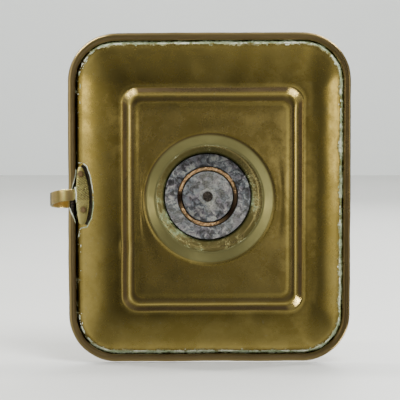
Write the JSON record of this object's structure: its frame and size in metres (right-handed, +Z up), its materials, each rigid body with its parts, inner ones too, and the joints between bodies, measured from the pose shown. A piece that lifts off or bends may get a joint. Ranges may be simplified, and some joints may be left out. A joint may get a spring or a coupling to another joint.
{
  "type": "chamberstick",
  "caption": "Rectangular brass chamber candlestick with a dished, wired-rim tray, a finger ring and a push-up ejector that slides in the candle tube.",
  "frame": {"origin": "on the candle tube's axis, in the plane that the tray's base rests on", "axes": "+Z up along the candle tube, +Y along the tray's long side, the finger ring towards -X"},
  "size_m": [0.139, 0.152, 0.08],
  "materials": {
    "tray_brass": "tarnished, polished long ago",
    "stem_brass": "tarnished, green in the crevices",
    "tube_brass": "coppery where it is cut",
    "handle_brass": "rubbed bright",
    "rivet_brass": "dull",
    "tinned_iron": "worn tinning, mottled grey",
    "iron_wire": "dark, drawn",
    "leather": "old and hard"
  },
  "bodies": {
    "stick": {"tray": "tray_brass", "rim_wire": "iron_wire", "stem_foot": "stem_brass", "base_plate": "tinned_iron", "candle_tube": "tube_brass", "tube_collar": "stem_brass", "drip_ring": "stem_brass", "handle_strap": "handle_brass", "handle_plate": "handle_brass", "handle_rivets": "rivet_brass", "rivet_washers": "rivet_brass"},
    "ejector": {"push_button": "tinned_iron", "button_burr": "iron_wire", "ejector_rod": "iron_wire", "ejector_platform": "tube_brass", "platform_leather": "leather", "platform_burr": "rivet_brass"}
  },
  "joints": [
    {"name": "ejector_slide", "type": "slide", "parent": "stick", "child": "ejector", "axis": [0, 0, 1], "range_m": [0, 0.03]}
  ]
}
